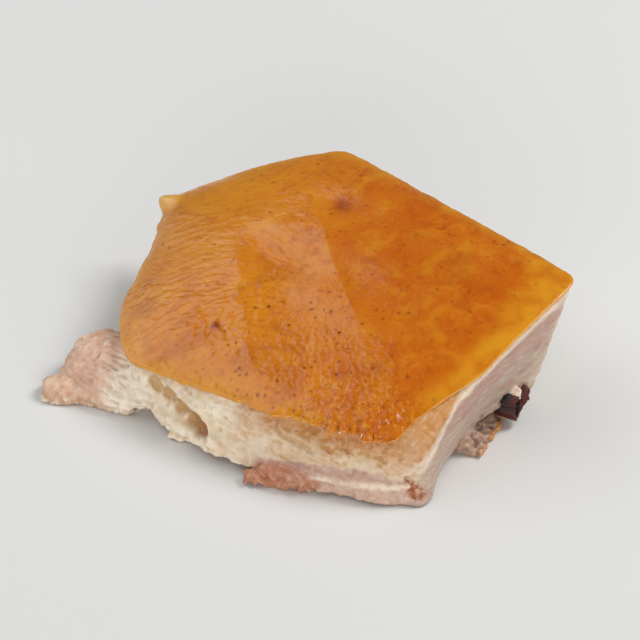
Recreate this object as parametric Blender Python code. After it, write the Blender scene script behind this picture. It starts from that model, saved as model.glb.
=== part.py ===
"""A chopped portion of roast suckling pig: a slab of pale meat under a sheet of glossy roast skin.

Metres, +Z up. The portion lies skin side up. Its long front cut face looks towards -Y and its
smooth right cut face towards +X. The origin is under the middle of the portion, on the surface
it rests on.
"""

import math
from collections import namedtuple

import bmesh
import bpy
from mathutils import Matrix, Vector, noise

MM = 0.001

# The outline has six corners, anticlockwise from above, in millimetres from the front foot.
# rim is the outer edge of the skin, foot is the lower edge of the meat.
Corner = namedtuple("Corner", "rim_x rim_y rim_z foot_x foot_y foot_z")
CORNERS = (
    Corner(-8.0, -0.6, 12.3, -3.4, -0.6, 0.0),
    Corner(5.2, 51.0, 29.0, 0.8, 39.5, 6.0),
    Corner(-62.0, 70.5, 30.0, -57.0, 61.0, 1.5),
    Corner(-97.0, 51.0, 16.5, -86.0, 45.0, 2.5),
    Corner(-88.5, 17.0, 12.5, -81.0, 14.0, 3.5),
    Corner(-77.5, 0.5, 11.0, -70.0, -2.5, 2.5),
)

# Each side runs from its corner to the next, in millimetres. The bows push the middle of the
# side outwards, rise lifts the rim there, belly swells the cut face, ledge is how far the lean
# meat at the bottom stands out past the fat, tuck is how far the meat draws back under the skin,
# roll is how far the skin curls down to its edge, and ragged is the unevenness of the edge and
# the face.
Side = namedtuple("Side", "rim_bow rise foot_bow belly ledge tuck roll ragged")
SIDES = (
    Side(0.8, 2.6, -5.2, 0.3, 0.0, 0.5, 0.8, 0.5),
    Side(-1.6, 1.6, 1.0, 1.0, 0.6, 1.4, 1.6, 1.6),
    Side(1.0, 1.4, 1.0, 0.8, 0.6, 1.6, 1.8, 1.6),
    Side(-1.2, 0.5, 0.5, 0.8, 0.6, 1.4, 2.6, 1.6),
    Side(1.2, 0.0, 0.5, 0.6, 0.0, 1.6, 3.2, 1.2),
    Side(4.2, 2.0, 7.0, 0.8, 1.3, 0.8, 3.2, 1.8),
)

# Lumps of meat fused to the slab: middle, half sizes, how far the +Y side is tipped up and the
# turn about Z, in degrees, how rough, and how many times the ball that it starts from is
# divided. Millimetres from the front foot.
Lump = namedtuple("Lump", "name middle half tip turn rough detail")
LUMPS = (
    Lump("tongue", (-81.6, 5.4, 2.6), (12.6, 10.0, 5.8), 14.0, -4.0, 1.5, 3),
    Lump("tongue_tip", (-89.8, -1.8, 1.2), (6.2, 4.4, 3.0), 8.0, 22.0, 0.9, 2),
    Lump("rib_flap", (-17.2, 26.8, 2.1), (14.4, 9.8, 4.2), 0.0, 8.0, 0.9, 3),
    Lump("browned_crumb", (-34.0, -8.6, 1.6), (6.4, 3.0, 2.6), 0.0, 16.0, 0.9, 2),
    Lump("crumb_tip", (-39.4, -10.6, 1.0), (2.6, 1.8, 1.5), 0.0, 30.0, 0.6, 2),
    Lump("heel_lump", (-61.5, -3.6, 2.0), (3.4, 2.8, 2.6), 0.0, 0.0, 0.9, 2),
)
# Hollows cut from it, in the same form: the smooth recess in the front face, the gap under
# the edge between the tongue and the front face, and the pit in the front corner.
HOLLOWS = (
    Lump("recess", (-60.4, -6.4, 7.3), (6.2, 3.6, 3.3), 0.0, 4.0, 0.8, 3),
    Lump("under_gap", (-70.0, -4.5, 0.0), (5.0, 7.0, 2.6), 0.0, 0.0, 0.4, 3),
    Lump("corner_pit", (-6.4, -2.6, 3.4), (2.2, 2.2, 2.0), 0.0, 0.0, 0.4, 2),
)

SKIN_THICKNESS = 1.6 * MM
SKIN_EDGE_DROP = 0.85 * SKIN_THICKNESS
SKIN_EDGE_SLANT = 0.25 * MM
SKIN_EDGE_BUMPS = 4.5 * MM
FACE_BUMPS = 7.0 * MM

# The skin is a dome on the plane that fits its rim, with a steeper roll at the edge and a
# low swell. The powers set how near the rim the dome and the roll happen.
DOME = 4.2 * MM
DOME_POWER = 2.4
ROLL_POWER = 9.0
SWELL = 0.9 * MM
SWELL_BUMPS = 26.0 * MM

# The lean meat's ledge ends at this share of a cut face's height, over this share more.
LEDGE_TOP = 0.42
LEDGE_FADE = 0.12
# The underside is flat from its middle out to this share of the way to the foot.
FLAT_SHARE = 0.66

CENTRE = MM * Vector((-43.0, 30.0, 0.0))
PERIMETER_POINTS = 128
FACE_LEVELS = 9
TOP_RINGS = 15
TOP_REACH = 0.988
TOP_SPACING = 1.15
BASE_RINGS = 4
# Passes of smoothing that turn the innermost ring of the skin round, so the dome has no hips.
HIP_SMOOTHING = 170
# A lump's roundness: 1 is an ellipsoid, and smaller is squarer.
SQUARENESS = 0.72

RIB_END = Vector((1.4, 33.6, 4.6)) * MM
RIB_RADIUS = 2.7 * MM
RIB_LENGTH = 15.0 * MM
RIB_TAPER = 0.86
RIB_BEND = 0.9 * MM
RIB_SIDES = 20
RIB_GAP = 0.3 * MM

PORTION_NAME = "roast_portion"
RIB_NAME = "rib_bone"


def ease(value):
    """0 below 0, 1 above 1, and smooth between them."""
    value = min(1.0, max(0.0, value))
    return value * value * (3.0 - 2.0 * value)


def ripple(point, size, seed):
    """Smooth unevenness between about -1 and 1, with bumps of the given size."""
    shift = Vector((7.31 * seed, 3.17 * seed, 5.73 * seed))
    return noise.noise(Vector(point) / size + shift)


def crag(point, size, seed):
    """Unevenness with bumps of the size and of a third of it."""
    return 0.7 * ripple(point, size, seed) + 0.3 * ripple(point, size / 3.0, seed + 1)


def smoothed(points, passes):
    """A closed line of points with its corners rounded."""
    for _ in range(passes):
        count = len(points)
        points = [
            (points[i - 1] + 2.0 * points[i] + points[(i + 1) % count]) / 4.0
            for i in range(count)
        ]
    return points


def side_lengths():
    """The length of each side of the rim, in millimetres."""
    rims = [Vector((corner.rim_x, corner.rim_y)) for corner in CORNERS]
    return [(rims[(i + 1) % len(rims)] - rims[i]).length for i in range(len(rims))]


def perimeter():
    """Pairs of side number and share of that side, evenly spaced all round."""
    lengths = side_lengths()
    step = sum(lengths) / PERIMETER_POINTS
    places = []
    for number, length in enumerate(lengths):
        count = max(3, round(length / step))
        places += [(number, i / count) for i in range(count)]
    return places


def bowed(start, end, share, bow, rise):
    """A point on a side that bows outwards and upwards between its corners."""
    along = end - start
    outward = Vector((along.y, -along.x, 0.0)).normalized()
    arch = 4.0 * share * (1.0 - share)
    return start.lerp(end, share) + arch * (bow * outward + rise * Vector((0.0, 0.0, 1.0)))


def rim_and_foot(places):
    """The skin's edge and the lower edge of the meat, as two lines of points in metres."""
    rim = []
    foot = []
    for number, share in places:
        here = CORNERS[number]
        there = CORNERS[(number + 1) % len(CORNERS)]
        side = SIDES[number]
        rim.append(
            MM * bowed(Vector(here[:3]), Vector(there[:3]), share, side.rim_bow, side.rise)
        )
        foot.append(
            MM * bowed(Vector(here[3:]), Vector(there[3:]), share, side.foot_bow, 0.0)
        )
    return smoothed(rim, 2), smoothed(foot, 3)


def side_value(places, field):
    """One of the sides' sizes at each place, in metres and blended round the corners."""
    return smoothed([MM * getattr(SIDES[number], field) for number, _ in places], 6)


def outward_of(rim):
    """The level direction out of the portion at each point of the rim."""
    directions = []
    for i in range(len(rim)):
        along = rim[(i + 1) % len(rim)] - rim[i - 1]
        directions.append(Vector((along.y, -along.x, 0.0)).normalized())
    return smoothed(directions, 2)


def rim_plane(rim):
    """Height and slopes of the plane that fits the rim best."""
    rows = [Vector((1.0, point.x, point.y)) for point in rim]
    normal = Matrix(((0.0,) * 3,) * 3)
    right = Vector((0.0, 0.0, 0.0))
    for row, point in zip(rows, rim):
        right += row * point.z
        for i in range(3):
            for j in range(3):
                normal[i][j] += row[i] * row[j]
    return normal.inverted() @ right


def skin_point(rim_point, plane, reach, roll, mean_roll):
    """The skin on the line from the middle (reach 0) to a point of the rim (reach 1)."""
    x = CENTRE.x + (rim_point.x - CENTRE.x) * reach
    y = CENTRE.y + (rim_point.y - CENTRE.y) * reach
    flat = plane.dot(Vector((1.0, x, y)))
    left_over = rim_point.z - plane.dot(Vector((1.0, rim_point.x, rim_point.y)))
    dome = DOME * (1.0 - reach**DOME_POWER)
    edge = mean_roll + (roll - mean_roll) * reach**3 - roll * reach**ROLL_POWER
    swell = SWELL * crag((x, y, 0.0), SWELL_BUMPS, 3) * (1.0 - reach**4)
    return Vector((x, y, flat + left_over * reach**3 + dome + edge + swell))


def base_rings(foot):
    """Rings of the underside, from the middle out: flat inside, lifted to the foot's height."""
    rings = []
    for level in range(1, BASE_RINGS + 1):
        reach = level / (BASE_RINGS + 1)
        lift = ease((reach - FLAT_SHARE) / (1.0 - FLAT_SHARE))
        ring = []
        for point in foot:
            place = CENTRE.lerp(Vector((point.x, point.y, 0.0)), reach)
            place.z = point.z * lift
            ring.append(place)
        rings.append(ring)
    return rings


def face_rings(rim, foot, outward, places):
    """Rings up the cut faces, from the foot to where the meat meets the skin."""
    belly = side_value(places, "belly")
    ledge = side_value(places, "ledge")
    tuck = side_value(places, "tuck")
    ragged = side_value(places, "ragged")
    rings = []
    for level in range(FACE_LEVELS + 1):
        share = level / FACE_LEVELS
        ring = []
        for i, (top, low) in enumerate(zip(rim, foot)):
            neck = top - tuck[i] * outward[i] - Vector((0.0, 0.0, SKIN_THICKNESS))
            place = low.lerp(neck, share)
            swell = belly[i] * math.sin(math.pi * share)
            swell += ledge[i] * ease((LEDGE_TOP - share) / LEDGE_FADE)
            rough = ragged[i] * crag(place, FACE_BUMPS, 11)
            place += (swell + rough) * outward[i]
            if level == 0:
                place.z = max(0.0, place.z)
            ring.append(place)
        rings.append(ring)
    return rings


def lip_rings(rim, outward, places):
    """The blunt edge of the skin sheet: its under side and its outer side."""
    ragged = side_value(places, "ragged")
    under = []
    outer = []
    for i, point in enumerate(rim):
        rough = ragged[i] * crag(point, SKIN_EDGE_BUMPS, 21)
        drop = Vector((0.0, 0.0, SKIN_EDGE_DROP))
        under.append(point + (rough - SKIN_EDGE_SLANT) * outward[i] - drop)
        outer.append(point + rough * outward[i] - 0.35 * drop)
    return [under, outer]


def top_rings(rim, places):
    """Rings over the skin, from its edge to the middle."""
    plane = rim_plane(rim)
    roll = side_value(places, "roll")
    mean_roll = sum(roll) / len(roll)
    rings = []
    for level in range(TOP_RINGS):
        inward = (level / TOP_RINGS) ** TOP_SPACING
        reach = TOP_REACH * (1.0 - inward)
        ring = [skin_point(p, plane, reach, roll[i], mean_roll) for i, p in enumerate(rim)]
        rings.append(smoothed(ring, round(HIP_SMOOTHING * inward)))
    return rings


def lofted(name, rings, low_middle, high_middle):
    """A closed mesh over stacked rings of points, with a middle point at each end."""
    bm = bmesh.new()
    rows = [[bm.verts.new(point) for point in ring] for ring in rings]
    count = len(rows[0])
    for lower, upper in zip(rows, rows[1:]):
        for i in range(count):
            j = (i + 1) % count
            bm.faces.new((lower[i], lower[j], upper[j], upper[i]))
    for row, middle, turned in ((rows[0], low_middle, True), (rows[-1], high_middle, False)):
        hub = bm.verts.new(middle)
        for i in range(count):
            j = (i + 1) % count
            bm.faces.new((row[j], row[i], hub) if turned else (row[i], row[j], hub))
    bmesh.ops.recalc_face_normals(bm, faces=bm.faces)
    mesh = bpy.data.meshes.new(name)
    bm.to_mesh(mesh)
    bm.free()
    return bpy.data.objects.new(name, mesh)


def slab(name):
    """The portion without its small parts: flat underside, cut faces, skin lip and domed skin."""
    places = perimeter()
    rim, foot = rim_and_foot(places)
    outward = outward_of(rim)
    rings = base_rings(foot)
    rings += face_rings(rim, foot, outward, places)
    rings += lip_rings(rim, outward, places)
    rings += top_rings(rim, places)
    crown = Vector((CENTRE.x, CENTRE.y, sum(p.z for p in rings[-1]) / len(rings[-1])))
    return lofted(name, rings, CENTRE, crown)


def lump_object(lump):
    """A ball made squarer, stretched to the lump's size, roughened and turned."""
    bm = bmesh.new()
    bmesh.ops.create_icosphere(bm, subdivisions=lump.detail, radius=1.0)
    turn = Matrix.Rotation(math.radians(lump.turn), 3, "Z")
    turn = turn @ Matrix.Rotation(math.radians(lump.tip), 3, "X")
    for vert in bm.verts:
        direction = vert.co.normalized()
        squarer = [math.copysign(abs(share) ** SQUARENESS, share) for share in direction]
        stretched = Vector(a * b for a, b in zip(squarer, lump.half))
        rough = lump.rough * crag(stretched, 0.45 * max(lump.half), 31)
        place = Vector(lump.middle) + turn @ (stretched + rough * direction)
        vert.co = MM * place
    mesh = bpy.data.meshes.new(lump.name)
    bm.to_mesh(mesh)
    bm.free()
    return bpy.data.objects.new(lump.name, mesh)


def flatten_below_rest(obj):
    """Brings what hangs below the resting surface up to it."""
    for vert in obj.data.vertices:
        vert.co.z = max(0.0, vert.co.z)


def rib(name, extra):
    """The rib's cut end and the short length behind it, thicker all round by extra."""
    bm = bmesh.new()
    radius = RIB_RADIUS + extra
    bmesh.ops.create_cone(
        bm,
        cap_ends=True,
        cap_tris=False,
        segments=RIB_SIDES,
        radius1=RIB_TAPER * radius,
        radius2=radius,
        depth=RIB_LENGTH + 2.0 * extra,
    )
    bmesh.ops.subdivide_edges(
        bm,
        edges=[e for e in bm.edges if abs(e.verts[0].co.z - e.verts[1].co.z) > 0.5 * RIB_LENGTH],
        cuts=5,
    )
    along = Matrix.Rotation(math.radians(90.0), 3, "Y")
    for vert in bm.verts:
        bend = RIB_BEND * (vert.co.z / RIB_LENGTH) ** 2
        place = along @ Vector((vert.co.x * 1.12, vert.co.y * 0.9, vert.co.z))
        vert.co = RIB_END + place + Vector((-0.5 * RIB_LENGTH, bend, 0.0))
    mesh = bpy.data.meshes.new(name)
    bm.to_mesh(mesh)
    bm.free()
    return bpy.data.objects.new(name, mesh)


def collection_of(name, hidden=False):
    group = bpy.data.collections.new(name)
    bpy.context.scene.collection.children.link(group)
    group.hide_render = hidden
    return group


def put_in(group, obj):
    group.objects.link(obj)
    if group.hide_render:
        obj.hide_render = True
        obj.display_type = "WIRE"
    return obj


def apply_boolean(obj, group, operation):
    """Joins or cuts obj with all of a collection, then removes that collection's objects."""
    modifier = obj.modifiers.new(operation.lower(), "BOOLEAN")
    modifier.operand_type = "COLLECTION"
    modifier.collection = group
    modifier.operation = operation
    modifier.solver = "EXACT"
    bpy.context.view_layer.update()
    graph = bpy.context.evaluated_depsgraph_get()
    mesh = bpy.data.meshes.new_from_object(obj.evaluated_get(graph))
    obj.modifiers.clear()
    obj.data = mesh
    for other in list(group.objects):
        bpy.data.objects.remove(other, do_unlink=True)
    bpy.data.collections.remove(group)


def material(name, color, roughness):
    made = bpy.data.materials.new(name)
    made.use_nodes = True
    shader = made.node_tree.nodes["Principled BSDF"]
    shader.inputs["Base Color"].default_value = (*color, 1.0)
    shader.inputs["Roughness"].default_value = roughness
    shader.inputs["Metallic"].default_value = 0.0
    return made


def stand_on_origin(objects):
    """Moves the meshes so that the middle of their box stands over the origin."""
    points = [vert.co for obj in objects for vert in obj.data.vertices]
    low = Vector(min(point[i] for point in points) for i in range(3))
    high = Vector(max(point[i] for point in points) for i in range(3))
    shift = Vector((-(low.x + high.x) / 2.0, -(low.y + high.y) / 2.0, -low.z))
    for obj in objects:
        obj.data.transform(Matrix.Translation(shift))
        obj.data.update()


def main():
    for obj in list(bpy.data.objects):
        bpy.data.objects.remove(obj, do_unlink=True)
    part = collection_of("suckling_pig_portion")
    fused = collection_of("fused_lumps", hidden=True)
    cut = collection_of("hollows", hidden=True)

    portion = put_in(part, slab(PORTION_NAME))
    for lump in LUMPS:
        flatten_below_rest(put_in(fused, lump_object(lump)))
    for hollow in HOLLOWS:
        put_in(cut, lump_object(hollow))
    put_in(cut, rib("rib_socket", RIB_GAP))
    apply_boolean(portion, fused, "UNION")
    apply_boolean(portion, cut, "DIFFERENCE")
    bone = put_in(part, rib(RIB_NAME, 0.0))

    portion.data.materials.clear()
    portion.data.materials.append(material("roast_skin", (0.55, 0.22, 0.03), 0.25))
    bone.data.materials.append(material("charred_rib", (0.12, 0.05, 0.03), 0.6))
    stand_on_origin((portion, bone))
    for obj in (portion, bone):
        obj.data.shade_smooth()
        obj.data.set_sharp_from_angle(angle=math.radians(50.0))


main()
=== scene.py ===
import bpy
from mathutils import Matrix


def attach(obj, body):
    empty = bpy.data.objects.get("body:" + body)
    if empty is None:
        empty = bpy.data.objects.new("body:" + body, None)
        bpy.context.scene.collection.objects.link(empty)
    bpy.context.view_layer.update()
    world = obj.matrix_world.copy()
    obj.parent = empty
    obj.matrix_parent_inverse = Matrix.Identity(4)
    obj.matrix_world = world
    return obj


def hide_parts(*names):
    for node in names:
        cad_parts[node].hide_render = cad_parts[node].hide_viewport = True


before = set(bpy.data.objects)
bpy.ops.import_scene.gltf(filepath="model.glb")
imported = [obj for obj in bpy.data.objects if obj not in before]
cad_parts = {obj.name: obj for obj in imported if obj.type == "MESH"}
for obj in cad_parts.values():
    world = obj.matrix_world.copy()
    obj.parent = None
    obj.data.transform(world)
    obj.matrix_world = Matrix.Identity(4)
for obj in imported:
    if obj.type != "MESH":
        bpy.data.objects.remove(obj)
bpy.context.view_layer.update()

import math
from collections import namedtuple

import bpy
import numpy as np
from mathutils import Matrix, Vector, kdtree, noise

MM = 0.001

# The portion's own sizes are in millimetres from its front foot, which stands here in the frame.
FRONT_FOOT = np.array((45.75, -28.75, 0.0))

# Corners of the outline, anticlockwise from above. rim is the outer edge of the skin and foot
# is the lower edge of the meat.
Corner = namedtuple("Corner", "rim foot")
CORNERS = (
    Corner((-8.0, -0.6, 12.3), (-3.4, -0.6, 0.0)),
    Corner((5.2, 51.0, 29.0), (0.8, 39.5, 6.0)),
    Corner((-62.0, 70.5, 30.0), (-57.0, 61.0, 1.5)),
    Corner((-97.0, 51.0, 16.5), (-86.0, 45.0, 2.5)),
    Corner((-88.5, 17.0, 12.5), (-81.0, 14.0, 3.5)),
    Corner((-77.5, 0.5, 11.0), (-70.0, -2.5, 2.5)),
)

# The sides between the corners: how far the middle of the rim and foot bow outwards, how far
# the rim rises there, the swell of the cut face, the ledge of lean meat at its bottom, how far
# the meat draws back under the skin, how far the skin rolls down, and how ragged it all is.
Side = namedtuple("Side", "rim_bow rise foot_bow belly ledge tuck roll ragged")
SIDES = (
    Side(0.8, 2.6, -5.2, 0.3, 0.0, 0.5, 0.8, 0.5),
    Side(-1.6, 1.6, 1.0, 1.0, 0.6, 1.4, 1.6, 1.6),
    Side(1.0, 1.4, 1.0, 0.8, 0.6, 1.6, 1.8, 1.6),
    Side(-1.2, 0.5, 0.5, 0.8, 0.6, 1.4, 2.6, 1.6),
    Side(1.2, 0.0, 0.5, 0.6, 0.0, 1.6, 3.2, 1.2),
    Side(4.2, 2.0, 7.0, 0.8, 1.3, 0.8, 3.2, 1.8),
)
RIGHT_SIDE, LEFT_SIDE, FRONT_SIDE = 0, 4, 5

# Lumps of meat that stand out of the slab: middle, half sizes, tip about X and turn about Z in
# degrees, and how rough. A hollow is a depth and the row of lumps that it takes out of the slab.
Lump = namedtuple("Lump", "middle half tip turn rough")
LUMPS = {
    "tongue": Lump((-81.6, 5.4, 2.6), (12.6, 10.0, 5.8), 14.0, -4.0, 1.5),
    "tongue_tip": Lump((-89.6, -2.4, 0.9), (6.2, 4.2, 2.6), 8.0, 26.0, 1.1),
    "tongue_side": Lump((-87.4, 1.6, 1.5), (6.0, 5.0, 3.0), 10.0, 24.0, 0.6),
    "rib_flap": Lump((-17.2, 26.8, 2.1), (14.4, 9.8, 4.2), 0.0, 8.0, 0.9),
    "browned_crumb": Lump((-33.4, -8.2, 1.6), (6.2, 2.6, 2.2), 0.0, 16.0, 1.3),
    "crumb_tip": Lump((-39.4, -10.4, 1.0), (2.7, 1.6, 1.4), 0.0, 34.0, 0.8),
    "heel_lump": Lump((-61.5, -3.6, 2.0), (3.4, 2.8, 2.6), 0.0, 0.0, 0.9),
    "cartilage": Lump((-1.4, 33.6, 7.7), (1.9, 0.6, 1.5), -35.0, 0.0, 0.3),
}
Hollow = namedtuple("Hollow", "depth lumps")
HOLLOWS = {
    "recess": Hollow(3.0, (
        Lump((-69.4, -3.0, 9.2), (3.6, 5.0, 3.0), 0.0, 0.0, 0.22),
        Lump((-65.6, -4.2, 8.6), (3.8, 5.0, 3.2), 0.0, 0.0, 0.22),
        Lump((-61.6, -5.4, 7.6), (3.6, 5.0, 3.0), 0.0, 0.0, 0.22),
        Lump((-58.0, -6.8, 6.3), (3.4, 5.0, 2.9), 0.0, 0.0, 0.22),
        Lump((-55.4, -8.0, 5.0), (2.8, 5.0, 2.5), 0.0, 0.0, 0.22),
    )),
    "under_gap": Hollow(2.6, (Lump((-69.5, -4.5, 0.2), (6.2, 7.0, 3.0), 0.0, 0.0, 0.15),)),
    "corner_pit": Hollow(1.5, (
        Lump((-6.9, -2.8, 3.7), (2.2, 3.2, 2.2), 0.0, 10.0, 0.9),
        Lump((-4.9, -2.6, 2.5), (1.5, 3.0, 1.2), 0.0, 10.0, 0.8),
    )),
}

SEEN_FROM_ABOVE = np.array((1.0, 1.0, 0.0))
SKIN_THICKNESS = 1.6
DOME, DOME_POWER, ROLL_POWER = 4.2, 2.4, 9.0
SWELL, SWELL_BUMPS = 0.9, 26.0
LEDGE_TOP, LEDGE_FADE = 0.42, 0.12
FLAT_SHARE = 0.66
CENTRE = np.array((-43.0, 30.0, 0.0))
OUTLINE_POINTS = 128
HIP_SMOOTHING = 170
SQUARENESS = 0.72


def ease(value):
    """0 below 0, 1 above 1, and smooth between them."""
    value = np.clip(value, 0.0, 1.0)
    return value * value * (3.0 - 2.0 * value)


def rising(value, start, end):
    """0 at the start, 1 at the end and beyond it, and smooth between. The end may be the lower."""
    return ease((value - start) / (end - start))


def beside(places, x, y):
    """How far each place is from a point, seen from above."""
    return np.hypot(places[:, 0] - x, places[:, 1] - y)


def ripple(points, size, seed):
    """Smooth unevenness between about -1 and 1 at each point, with bumps of the given size."""
    shift = np.array((7.31, 3.17, 5.73)) * seed
    scaled = np.asarray(points) / size + shift
    return np.array([noise.noise(Vector(place)) for place in scaled])


def crag(points, size, seed):
    """Unevenness with bumps of the size and of a third of it."""
    return 0.7 * ripple(points, size, seed) + 0.3 * ripple(points, size / 3.0, seed + 1)


def ridge(points, size, seed):
    """Sharp creases between about 0 and 1, as wide apart as the size."""
    return 1.0 - np.minimum(1.0, 2.2 * np.abs(ripple(points, size, seed)))


def smoothed(values, passes):
    """Values round a closed line, with the corners rounded by passes of a three-point average."""
    values = np.asarray(values, float)
    turns = np.arange(len(values)) * (math.pi / len(values))
    keep = (np.cos(turns) ** 2) ** passes
    keep = keep.reshape((-1,) + (1,) * (values.ndim - 1))
    return np.fft.ifft(np.fft.fft(values, axis=0) * keep, axis=0).real


def rightward(along):
    """Level directions of length 1 to the right of the given ones."""
    aside = np.stack([along[:, 1], -along[:, 0], 0.0 * along[:, 0]], axis=1)
    return aside / np.linalg.norm(aside, axis=1, keepdims=True)


class Outline:
    """The skin's edge, the meat's foot and the sides' sizes, all round the portion."""

    def __init__(self, fineness):
        self.fineness = fineness
        rims = np.array([corner.rim for corner in CORNERS])
        feet = np.array([corner.foot for corner in CORNERS])
        lengths = np.hypot(*(np.roll(rims, -1, axis=0) - rims)[:, :2].T)
        step = lengths.sum() / OUTLINE_POINTS
        counts = [max(3, round(length / step)) * fineness for length in lengths]
        self.side = np.repeat(np.arange(len(counts)), counts)
        self.share = np.concatenate([np.arange(count) / count for count in counts])
        self.rim = self.rounded(self.bowed(rims, "rim_bow", "rise"), 2)
        self.foot = self.rounded(self.bowed(feet, "foot_bow", None), 3)
        along = np.roll(self.rim, -fineness, axis=0) - np.roll(self.rim, fineness, axis=0)
        self.outward = self.rounded(rightward(along), 2)
        for field in ("belly", "ledge", "tuck", "roll", "ragged"):
            setattr(self, field, self.rounded(self.of_side(field), 6))

    def __len__(self):
        return len(self.side)

    def of_side(self, field):
        return np.array([getattr(side, field) for side in SIDES])[self.side]

    def rounded(self, values, passes):
        return smoothed(values, passes * self.fineness**2)

    def bowed(self, corners, bow_field, rise_field):
        start = corners[self.side]
        end = np.roll(corners, -1, axis=0)[self.side]
        along = end - start
        share = self.share[:, None]
        arch = 4.0 * share * (1.0 - share)
        bow = arch * self.of_side(bow_field)[:, None]
        places = start + share * along + bow * rightward(along)
        if rise_field:
            places[:, 2:] += arch * self.of_side(rise_field)[:, None]
        return places

    def side_weight(self, number, passes=8):
        """1 along a side and 0 along the others, fading round the corners."""
        return self.rounded((self.side == number).astype(float), passes)

    def plane(self):
        """Height and slopes of the plane that fits the rim best."""
        rows = np.column_stack([np.ones(len(self)), self.rim[:, :2]])
        return np.linalg.lstsq(rows, self.rim[:, 2], rcond=None)[0]


def skin_ring(outline, plane, reach):
    """The skin on the lines from the middle (reach 0) to the rim (reach 1)."""
    rim = outline.rim
    ring = CENTRE + (rim - CENTRE) * reach
    flat = plane[0] + ring[:, :2] @ plane[1:]
    left_over = rim[:, 2] - plane[0] - rim[:, :2] @ plane[1:]
    dome = DOME * (1.0 - reach**DOME_POWER)
    mean_roll = outline.roll.mean()
    edge = mean_roll + (outline.roll - mean_roll) * reach**3 - outline.roll * reach**ROLL_POWER
    ring[:, 2] = 0.0
    swell = SWELL * crag(ring, SWELL_BUMPS, 3) * (1.0 - reach**4)
    ring[:, 2] = flat + left_over * reach**3 + dome + edge + swell
    return ring


def select_only(*objects):
    bpy.ops.object.select_all(action="DESELECT")
    for obj in objects:
        obj.select_set(True)
    bpy.context.view_layer.objects.active = objects[0]


def vertex_rows(obj, field):
    rows = np.empty(len(obj.data.vertices) * 3, np.float32)
    obj.data.vertices.foreach_get(field, rows)
    return rows.reshape(-1, 3).astype(float)


def coordinates(obj):
    return vertex_rows(obj, "co")


def normals(obj):
    return vertex_rows(obj, "normal")


def set_coordinates(obj, places):
    obj.data.vertices.foreach_set("co", np.asarray(places, np.float32).ravel())
    obj.data.update()


def to_frame(places):
    """Millimetres from the front foot to metres in the frame."""
    return (places + FRONT_FOOT) * MM


def from_frame(places):
    """Metres in the frame to millimetres from the front foot."""
    return places / MM - FRONT_FOOT


def moulded_ball(name, rings, top, bottom):
    """A ball moved onto the rings from the top down, and the number of the ring of each vertex."""
    count, around = len(rings), len(rings[0])
    bpy.ops.mesh.primitive_uv_sphere_add(segments=around, ring_count=count + 1, radius=1.0)
    obj = bpy.context.object
    obj.name = obj.data.name = name
    start = coordinates(obj)
    level = np.rint(np.arccos(np.clip(start[:, 2], -1, 1)) / math.pi * (count + 1)).astype(int)
    spoke = np.rint(np.arctan2(start[:, 1], start[:, 0]) / (2 * math.pi) * around).astype(int)
    rows = np.array(rings)
    places = rows[np.clip(level - 1, 0, count - 1), spoke % around]
    places[level == 0] = top
    places[level == count + 1] = bottom
    set_coordinates(obj, to_frame(places))
    return obj, level


def shade(obj, angle=60.0):
    select_only(obj)
    bpy.ops.object.shade_smooth_by_angle(angle=math.radians(angle))


def add_values(obj, name, values):
    """Keeps a value between 0 and 1 for each of up to three channels at each vertex."""
    layer = obj.data.color_attributes.new(name, "FLOAT_COLOR", "POINT")
    colors = np.ones((len(values), 4), np.float32)
    colors[:, : values.shape[1]] = values
    layer.data.foreach_set("color", colors.ravel())


def linear(red, green, blue):
    """A colour named by its 8-bit values, as the shader takes it."""
    parts = np.array((red, green, blue)) / 255.0
    return np.where(parts <= 0.04045, parts / 12.92, ((parts + 0.055) / 1.055) ** 2.4)


# Skin: the sheet of roast skin.
SKIN_FINENESS = 5
SKIN_RINGS = 90
SKIN_INSET = 0.99
EDGE_THICKNESS = 0.75
EDGE_TURNS = (35.0, 80.0, 120.0, 160.0)
UNDER_REACHES = (0.965, 0.93, 0.86, 0.7, 0.45, 0.2)
UNDERSIDE = 1.2
WRINKLE_HEIGHT = 0.13
WRINKLE_TURN = np.array(((0.9, -0.42, 0.0), (0.42, 0.9, 0.0), (0.0, 0.0, 1.0)))
WRINKLE_STRETCH = np.array((2.5, 1.0, 1.0))
CRINKLE_HEIGHT = 0.30
CURD_HEIGHT = 0.27
CORNER_RETREAT = 4.6
TIP_STRETCH = np.array((-2.6, 0.2, 0.6))

# The creases: a point on each, the direction across it, and how much and how broadly it wavers.
Crease = namedtuple("Crease", "x y across waver breadth seed")
LEFT_CREASE = Crease(-57.0, 15.0, (0.812, 0.583), 1.3, 14.0, 57)
LEFT_CREASE_SLOPE = 0.15
BACK_CREASE = Crease(-46.6, 36.0, (0.734, 0.679), 0.8, 12.0, 58)
BACK_CREASE_DROP, BACK_CREASE_BREADTH = 0.75, 5.5

Spot = namedtuple("Spot", "x y radius strength")
BROWN_SPOTS = (
    Spot(-52.0, 51.0, 3.6, 0.85),
    Spot(-61.5, 10.8, 1.5, 1.0),
    Spot(-80.5, 14.0, 4.0, 0.5),
    Spot(-20.0, 44.0, 3.4, 0.4),
    Spot(-14.0, 33.0, 2.6, 0.35),
    Spot(-84.0, 22.0, 1.4, 0.6),
)


def front_curd(places, reach):
    """How strongly the skin is curdled into small crisp bumps: most at the front corner."""
    x, y = places[:, 0], places[:, 1]
    corner = rising(x, -50.0, -20.0) * rising(y, 15.0, 3.0)
    front = 0.35 * rising(x, -66.0, -46.0) * rising(y, 24.0, 8.0)
    return np.maximum(corner * rising(reach, 0.6, 0.8), front)


def past_crease(flat, crease):
    """How far each place lies beyond a crease, or 0 before it."""
    aside = (flat[:, 0] - crease.x) * crease.across[0] + (flat[:, 1] - crease.y) * crease.across[1]
    return np.maximum(aside + crease.waver * ripple(flat, crease.breadth, crease.seed), 0.0)


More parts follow.
